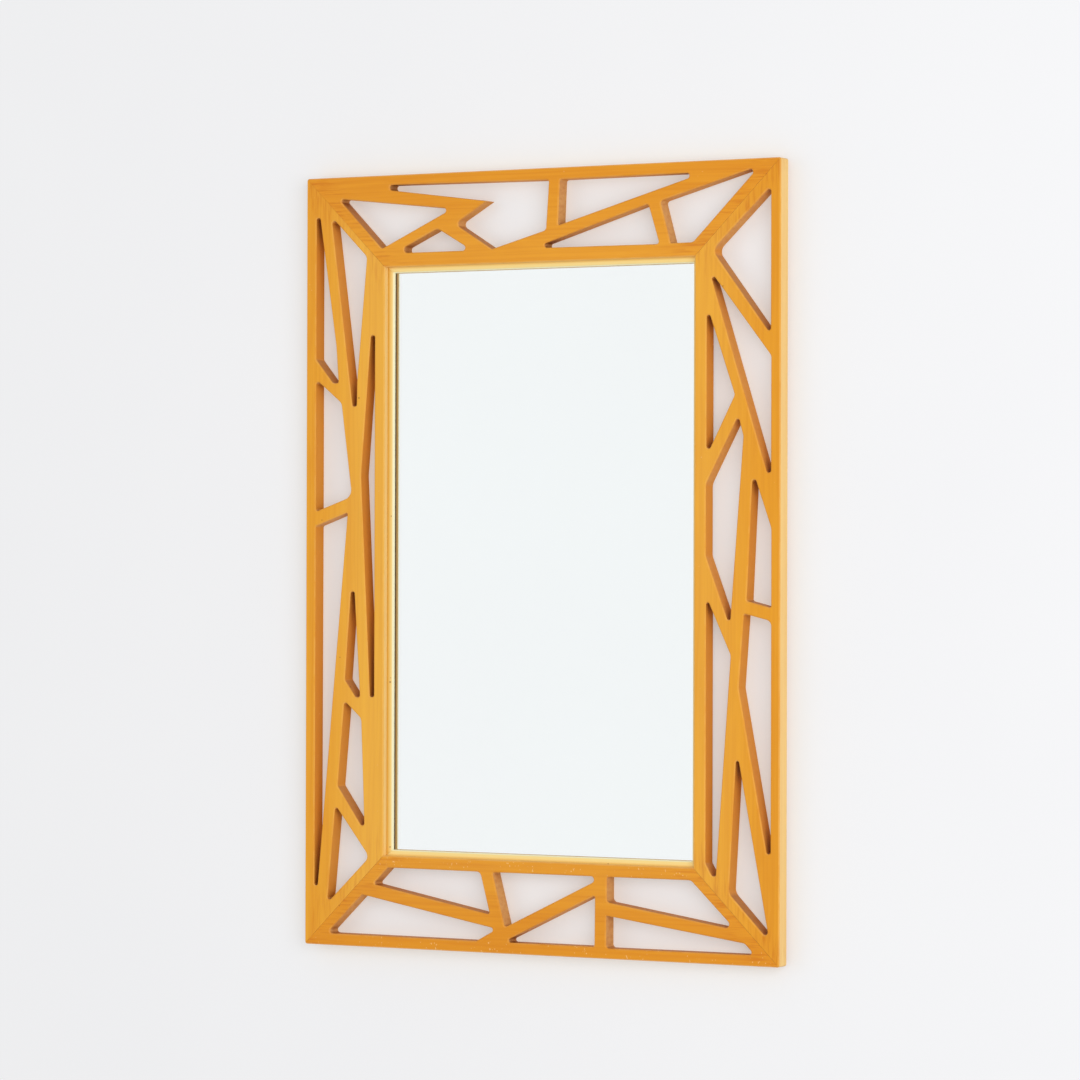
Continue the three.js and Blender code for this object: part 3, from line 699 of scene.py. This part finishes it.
def repeat_tree():
    """Puts one copy of a shape at each point and gives the copies a finish."""
    tree = bpy.data.node_groups.new("fixings_at_points", "GeometryNodeTree")
    tree.interface.new_socket("Geometry", in_out="INPUT", socket_type="NodeSocketGeometry")
    shape = tree.interface.new_socket("Shape", in_out="INPUT", socket_type="NodeSocketObject")
    finish = tree.interface.new_socket("Finish", in_out="INPUT", socket_type="NodeSocketMaterial")
    twist = tree.interface.new_socket("Twist", in_out="INPUT", socket_type=FLOAT)
    tree.interface.new_socket("Geometry", in_out="OUTPUT", socket_type="NodeSocketGeometry")
    t = Tree(tree)
    given = t.add("NodeGroupInput").outputs
    source = t.add("GeometryNodeObjectInfo", {"Object": given["Shape"]})
    turns = t.add("FunctionNodeRandomValue", {"Min": 0.0, "Max": 1.0, "Seed": 7})
    turns.data_type = "FLOAT"
    angle = t.math("MULTIPLY", turns.outputs["Value"], given["Twist"])
    spin = t.add("ShaderNodeCombineXYZ", {"Y": angle})
    copies = t.add("GeometryNodeInstanceOnPoints", {
        "Points": given["Geometry"],
        "Instance": source.outputs["Geometry"],
        "Rotation": spin.outputs[0],
    })
    solid = t.add("GeometryNodeRealizeInstances", {"Geometry": copies.outputs["Instances"]})
    done = t.add("GeometryNodeSetMaterial", {
        "Geometry": solid.outputs["Geometry"], "Material": given["Finish"],
    })
    t.add("NodeGroupOutput", {0: done.outputs["Geometry"]})
    return tree, shape.identifier, finish.identifier, twist.identifier


REPEAT, SHAPE_INPUT, FINISH_INPUT, TWIST_INPUT = repeat_tree()


def repeated(name, points, shape, twist):
    """One piece with a zinc-plated copy of a shape at each point, turned by up to a twist."""
    mesh = bpy.data.meshes.new(name)
    mesh.from_pydata([tuple(p) for p in points], [], [])
    piece = loose_object(name, mesh)
    nodes = piece.modifiers.new("copies", "NODES")
    nodes.node_group = REPEAT
    nodes[SHAPE_INPUT] = shape
    nodes[FINISH_INPUT] = ZINC
    nodes[TWIST_INPUT] = twist
    return plain_mesh(piece, name)


def head_centre(node):
    """The middle of the rear face of a pin or screw, which lies along Y."""
    low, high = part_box(node)
    return Vector(((low.x + high.x) / 2, high.y, (low.z + high.z) / 2))


# Panel pins, driven flush with the backing board.
pin_low, pin_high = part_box(PINS[0])
pin_length = pin_high.y - pin_low.y
pin_head = (pin_high.x - pin_low.x) / 2
pin_shape = loose_object("pin_shape", turned_mesh("pin_shape", [
    (0, -pin_length),
    (PIN_SHANK, PIN_POINT - pin_length),
    (PIN_SHANK, -0.62 * MM),
    (pin_head - 0.1 * MM, -0.5 * MM),
    (pin_head, -0.38 * MM),
    (pin_head, -0.12 * MM),
    (pin_head - 0.2 * MM, -0.02 * MM),
    (0.5 * MM, 0),
    (0.3 * MM, -0.08 * MM),
    (0, -0.1 * MM),
], sides=20))
pins = repeated("backing_pins", [head_centre(pin) for pin in PINS], pin_shape, PIN_TWIST)
bpy.data.objects.remove(pin_shape)
smooth(pins, sharp_angle=35)
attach(pins, ROOT)
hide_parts(*PINS)


def cross_recess(radius, deep, wide):
    """A tapering cross that is sunk into a screw's head along Y."""
    work = bmesh.new()
    for turn in (0, math.pi / 2):
        spin = Matrix.Rotation(turn, 3, "Y")
        corners = []
        for y, reach in ((0.3 * MM, radius), (-deep, 0.35 * radius)):
            half = wide / 2 if y > 0 else 0.7 * wide / 2
            ring = [(-reach, y, -half), (reach, y, -half), (reach, y, half), (-reach, y, half)]
            corners.append([work.verts.new(spin @ Vector(c)) for c in ring])
        top, bottom = corners
        work.faces.new(top)
        work.faces.new(bottom[::-1])
        for i in range(4):
            k = (i + 1) % 4
            work.faces.new((top[i], bottom[i], bottom[k], top[k]))
    bmesh.ops.recalc_face_normals(work, faces=work.faces)
    mesh = bpy.data.meshes.new("cross_recess")
    work.to_mesh(mesh)
    work.free()
    return loose_object("cross_recess", mesh)


# Pan-head screws, one through each strap.
SCREWS = tuple("hanger_screw_" + side for side in SIDES)
screw_low, screw_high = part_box(SCREWS[0])
screw_length = screw_high.y - screw_low.y
head = (screw_high.x - screw_low.x) / 2
# The outline runs from the point, up the thread and the shank, and over the head.
profile = [(0, -screw_length), (0.35 * MM, 0.9 * MM - screw_length)]
ridge = 3.2 * MM - screw_length
while ridge < -(SCREW_HEAD_DEEP + 3.0 * MM):
    profile += [
        (THREAD_ROOT, ridge),
        (THREAD_CREST, ridge + 0.4 * MM),
        (THREAD_ROOT, ridge + 0.75 * MM),
    ]
    ridge += THREAD_PITCH
profile += [
    (SCREW_SHANK, ridge),
    (SCREW_SHANK, -SCREW_HEAD_DEEP - 0.1 * MM),
    (head - 0.15 * MM, -SCREW_HEAD_DEEP),
]
dome = SCREW_HEAD_DEEP * 0.72
for step in range(DOME_STEPS + 1):
    angle = (math.pi / 2) * step / DOME_STEPS
    radius = head * math.cos(angle) ** 0.55 if step < DOME_STEPS else 0
    profile.append((radius, -dome + dome * math.sin(angle)))
screw_shape = loose_object("screw_shape", turned_mesh("screw_shape", profile, sides=28))
recess = cross_recess(0.62 * head, RECESS_DEEP, RECESS_WIDE)
cut = screw_shape.modifiers.new("recess", "BOOLEAN")
cut.operation = "DIFFERENCE"
cut.solver = "EXACT"
cut.use_self = True
cut.object = recess
screw_shape = plain_mesh(screw_shape, "screw_shape")
bpy.data.objects.remove(recess)
screws = repeated("hanger_screws", [head_centre(n) for n in SCREWS], screw_shape, SCREW_TWIST)
bpy.data.objects.remove(screw_shape)
smooth(screws, sharp_angle=32)
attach(screws, ROOT)
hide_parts(*SCREWS)


def ring_path(node):
    """The middle line of a D-ring: a straight bar on top, straight sides and a round end."""
    low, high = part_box(node)
    x, y = (low.x + high.x) / 2, (low.y + high.y) / 2
    half = (high.x - low.x) / 2 - RING_WIRE
    top, bottom = high.z - RING_WIRE, low.z + RING_WIRE
    corner = RING_CORNER
    points = []

    def arc(cx, cz, radius, start, end, steps):
        for i in range(steps + 1):
            a = math.radians(start + (end - start) * i / steps)
            points.append((x + cx + radius * math.cos(a), y, cz + radius * math.sin(a)))

    arc(half - corner, top - corner, corner, 90, 0, steps=6)
    arc(0, bottom + half, half, 0, -180, steps=28)
    arc(corner - half, top - corner, corner, 180, 90, steps=6)
    return points


for side in SIDES:
    strap_node = "hanger_strap_" + side
    strap = ease(merged_copy(strap_node, "finished_strap_" + side), STRAP_EASE, angle=30)
    dress(strap, ZINC, strap_node, ROOT)

    curve = bpy.data.curves.new("ring_wire", "CURVE")
    curve.dimensions = "3D"
    curve.bevel_depth = RING_WIRE
    curve.bevel_resolution = 5
    path = ring_path("hanger_ring_" + side)
    spline = curve.splines.new("POLY")
    spline.points.add(len(path) - 1)
    for point, place in zip(spline.points, path):
        point.co = (*place, 1.0)
    spline.use_cyclic_u = True
    ring = plain_mesh(loose_object("ring_wire", curve), "finished_ring_" + side)
    smooth(ring)
    dress(ring, ZINC, "hanger_ring_" + side, side + "_ring")

# ------------------------------------------------------------------ wall, light and camera


def make_wall():
    """A plain wall just behind the mirror. From behind, and for shadows, it isn't there."""
    mesh = bpy.data.meshes.new("wall")
    half, y = WALL_HALF, WALL_BEHIND
    corners = [(-half, y, -half), (half, y, -half), (half, y, half), (-half, y, half)]
    mesh.from_pydata(corners, [], [(0, 1, 2, 3)])
    loose_object("wall", mesh)
    material, t, surface, output = new_material("wall_paint")
    place = t.add("ShaderNodeTexCoord").outputs
    cloud = t.noise(place["Object"], 3.5, 3.0, 0.5)
    colour = t.mix(cloud, linear(WALL_PAINT), linear(WALL_CLOUD))
    t.put(surface, {"Base Color": colour, "Roughness": 0.9, "Specular IOR Level": 0.0})
    # Part of the wall's brightness is its own, which keeps the mirror's shadow on it faint.
    ray = t.add("ShaderNodeLightPath").outputs
    own = t.math("MULTIPLY", t.seen(ray), WALL_GLOW)
    glow = t.add("ShaderNodeEmission", {0: linear(WALL_OWN), 1: 1.0})
    paint = t.add("ShaderNodeMixShader", {0: own, 1: surface.outputs[0], 2: glow.outputs[0]})
    behind = t.add("ShaderNodeNewGeometry").outputs["Backfacing"]
    clear = t.math("MAXIMUM", ray["Is Shadow Ray"], behind)
    nothing = t.add("ShaderNodeBsdfTransparent")
    both = t.add("ShaderNodeMixShader", {0: clear, 1: paint.outputs[0], 2: nothing.outputs[0]})
    t.put(output, {"Surface": both.outputs[0]})
    mesh.materials.append(material)


make_wall()

world = bpy.data.worlds.new("room")
bpy.context.scene.world = world
world.use_nodes = True
world.node_tree.nodes.clear()
w = Tree(world.node_tree)
seen = w.seen(w.add("ShaderNodeLightPath").outputs)
ambient = w.add("ShaderNodeBackground", {0: (1.0, 1.0, 1.0, 1.0), 1: AMBIENT})
shown = w.add("ShaderNodeBackground", {0: linear(ROOM), 1: 1.0})
room = w.add("ShaderNodeMixShader", {0: seen, 1: ambient.outputs[0], 2: shown.outputs[0]})
w.add("ShaderNodeOutputWorld", {0: room.outputs[0]})


def soft_lamp(name, place, size, watts):
    """A square area lamp that faces the mirror's middle."""
    lamp = bpy.data.lights.new(name, "AREA")
    lamp.shape = "SQUARE"
    lamp.size = size
    lamp.energy = watts
    holder = loose_object(name, lamp)
    holder.visible_glossy = False  # the mirror shows the pale room and no lamp
    holder.visible_transmission = False
    holder.location = place
    holder.rotation_euler = Vector(place).to_track_quat("Z", "Y").to_euler()


soft_lamp("window", (2.6, -2.6, 0.3), size=2.2, watts=52.0)
soft_lamp("fill", (-2.6, -2.8, 0.2), size=1.8, watts=12.0)
soft_lamp("behind", (-0.6, 4.0, 0.8), size=2.0, watts=100.0)

camera_data = bpy.data.cameras.new("camera")
camera = loose_object("camera", camera_data)
bpy.context.scene.camera = camera
camera_data.lens = FOCAL_MM
camera_data.sensor_width = SENSOR_MM
camera_data.clip_start, camera_data.clip_end = 0.05, 50.0

# From the frame's (X, depth, Z) to the camera's right, down and forward.
cy, sy = math.cos(CAMERA_YAW), math.sin(CAMERA_YAW)
cp, sp = math.cos(CAMERA_PITCH), math.sin(CAMERA_PITCH)
cr, sr = math.cos(CAMERA_ROLL), math.sin(CAMERA_ROLL)
turn = Matrix(((cy, sy, 0), (0, 0, -1), (-sy, cy, 0)))
turn = Matrix(((1, 0, 0), (0, cp, -sp), (0, sp, cp))) @ turn
turn = Matrix(((cr, -sr, 0), (sr, cr, 0), (0, 0, 1))) @ turn
face_centre = Vector((0, BOARD_LOW.y, 0))
eye = face_centre - turn.transposed() @ Vector(CAMERA_TO_FACE)
right, down, forward = (Vector(row) for row in turn)
axes = Matrix((right, -down, -forward)).transposed()
camera.matrix_world = Matrix.Translation(eye) @ axes.to_4x4()

bpy.context.scene.view_settings.view_transform = "Standard"
